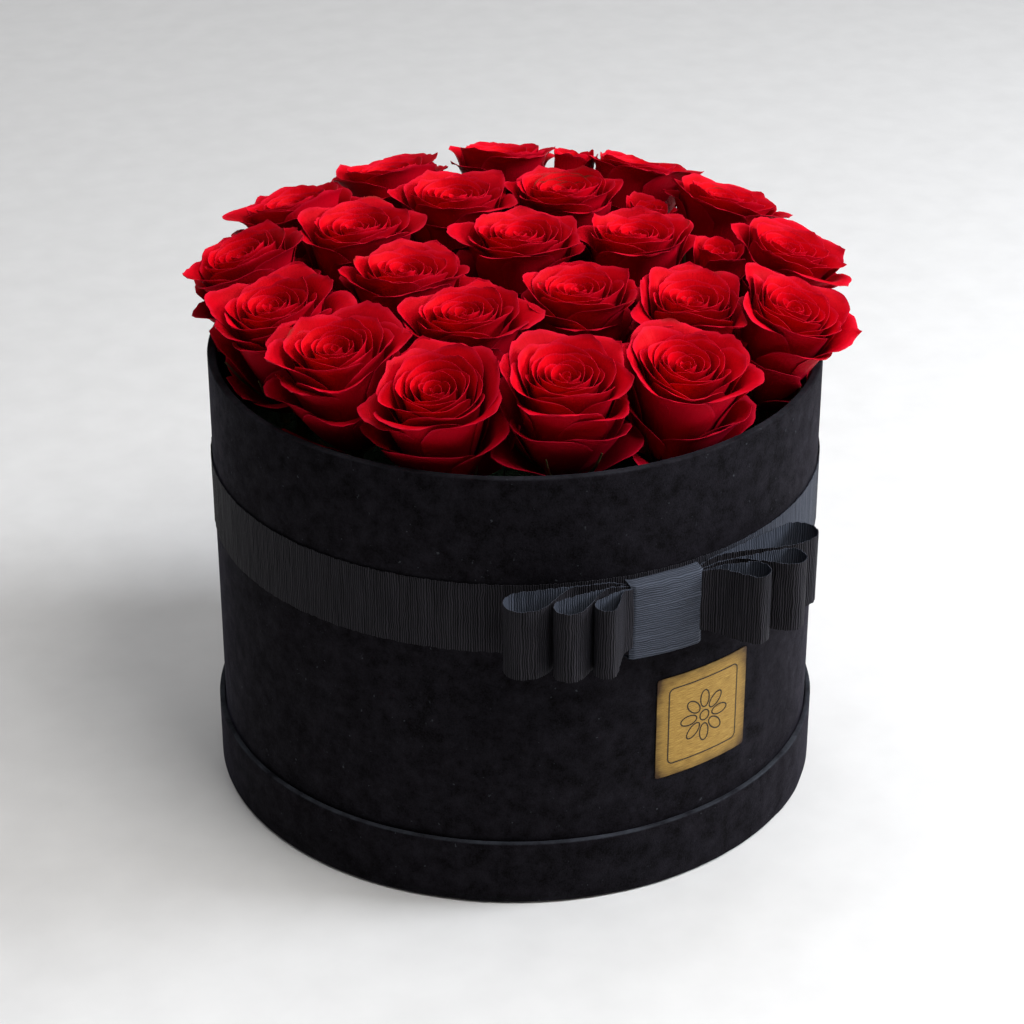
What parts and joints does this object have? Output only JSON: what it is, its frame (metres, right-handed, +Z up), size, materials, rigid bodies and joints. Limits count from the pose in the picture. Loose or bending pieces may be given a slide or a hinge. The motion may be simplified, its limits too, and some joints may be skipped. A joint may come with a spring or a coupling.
{
  "type": "flower box",
  "caption": "Round velvet paper hat box standing in its upturned lid, tied with a crinkled ribbon bow and filled with red roses in wet flower foam.",
  "frame": {"origin": "centre of the lid panel's underside, on the surface that the box stands on", "axes": "+Z up along the axis of the box; -Y towards the knot of the bow; +X to the right as the bow is faced"},
  "size_m": [0.2906, 0.311, 0.2592],
  "materials": {
    "velvet_paper": "black flocked velvet paper, matt with a faint grazing sheen and fine lint",
    "board": "grey box board, matt",
    "lining": "matt black lining paper",
    "pan_plastic": "thin dark green vacuum-formed plastic",
    "foam": "open-celled green flower foam, wet",
    "ribbon": "crinkled charcoal ribbon with a blue-grey sheen",
    "gold_foil": "brushed gold foil, darker at the corners",
    "petal": "soft deep red rose petal, darker and slightly magenta at its edge"
  },
  "bodies": {
    "lid": {"lid_cover": "velvet_paper", "lid_panel": "board", "lid_wall": "board"},
    "box": {"bow_knot": "ribbon", "bow_loop_left_inner": "ribbon", "bow_loop_left_middle": "ribbon", "bow_loop_left_outer": "ribbon", "bow_loop_right_inner": "ribbon", "bow_loop_right_middle": "ribbon", "bow_loop_right_outer": "ribbon", "box_cover": "velvet_paper", "box_floor": "board", "box_lining": "lining", "box_wall": "board", "label_plate": "gold_foil", "ribbon_band": "ribbon"},
    "insert": {"foam_lower_left": "foam", "foam_lower_right": "foam", "foam_upper_back": "foam", "foam_upper_front": "foam", "liner_pan": "pan_plastic", "rose_bud_01": "petal", "rose_bud_02": "petal", "rose_bud_03": "petal", "rose_core_01": "petal", "rose_core_02": "petal", "rose_core_03": "petal", "rose_core_04": "petal", "rose_mid_01": "petal", "rose_mid_02": "petal", "rose_mid_03": "petal", "rose_mid_04": "petal", "rose_mid_05": "petal", "rose_rim_01": "petal", "rose_rim_02": "petal", "rose_rim_03": "petal", "rose_rim_04": "petal", "rose_rim_05": "petal", "rose_rim_06": "petal", "rose_rim_07": "petal", "rose_rim_08": "petal", "rose_rim_09": "petal", "rose_rim_10": "petal", "rose_rim_11": "petal", "rose_rim_12": "petal", "rose_rim_13": "petal"}
  },
  "joints": [
    {"name": "box_lift", "type": "slide", "parent": "lid", "child": "box", "axis": [0, 0, 1], "range_m": [0, 0.05]},
    {"name": "insert_lift", "type": "slide", "parent": "box", "child": "insert", "axis": [0, 0, 1], "range_m": [0, 0.21]}
  ]
}
